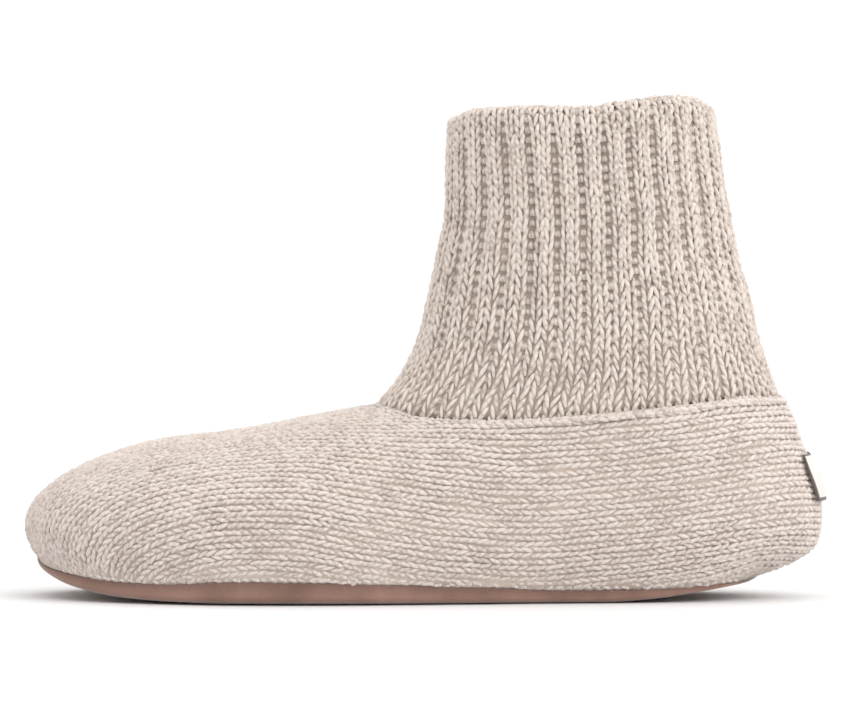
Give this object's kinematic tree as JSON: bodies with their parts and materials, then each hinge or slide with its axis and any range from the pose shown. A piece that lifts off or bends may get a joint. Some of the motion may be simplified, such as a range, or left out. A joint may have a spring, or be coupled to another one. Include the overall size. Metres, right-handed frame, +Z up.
{
  "type": "slipper sock",
  "caption": "Knitted wool slipper sock: hollow plain-knit foot on a soft suede sole, with a tall ribbed ankle shaft open at its rounded rim.",
  "frame": {"origin": "on the floor, under the middle of the slipper's box", "axes": "+X from toe to heel, +Z up, +Y to the inner side of the foot"},
  "size_m": [0.2711, 0.0982, 0.1685],
  "materials": {
    "sole": "soft brown suede with a short nap, slightly darker along its rounded edge",
    "insole": "matted cream wool felt",
    "knit": "marled ragg wool in cream and taupe, plain knit with its wales along the foot",
    "rib_knit": "the same marled wool in upright ribs of two knit wales and one sunk purl wale",
    "label": "pale woven ribbon with a thin dark edge, bare"
  },
  "bodies": {
    "root": {"sole": "sole", "insole": "insole", "foot": "knit", "shaft": "rib_knit", "heel_label": "label"}
  },
  "joints": []
}
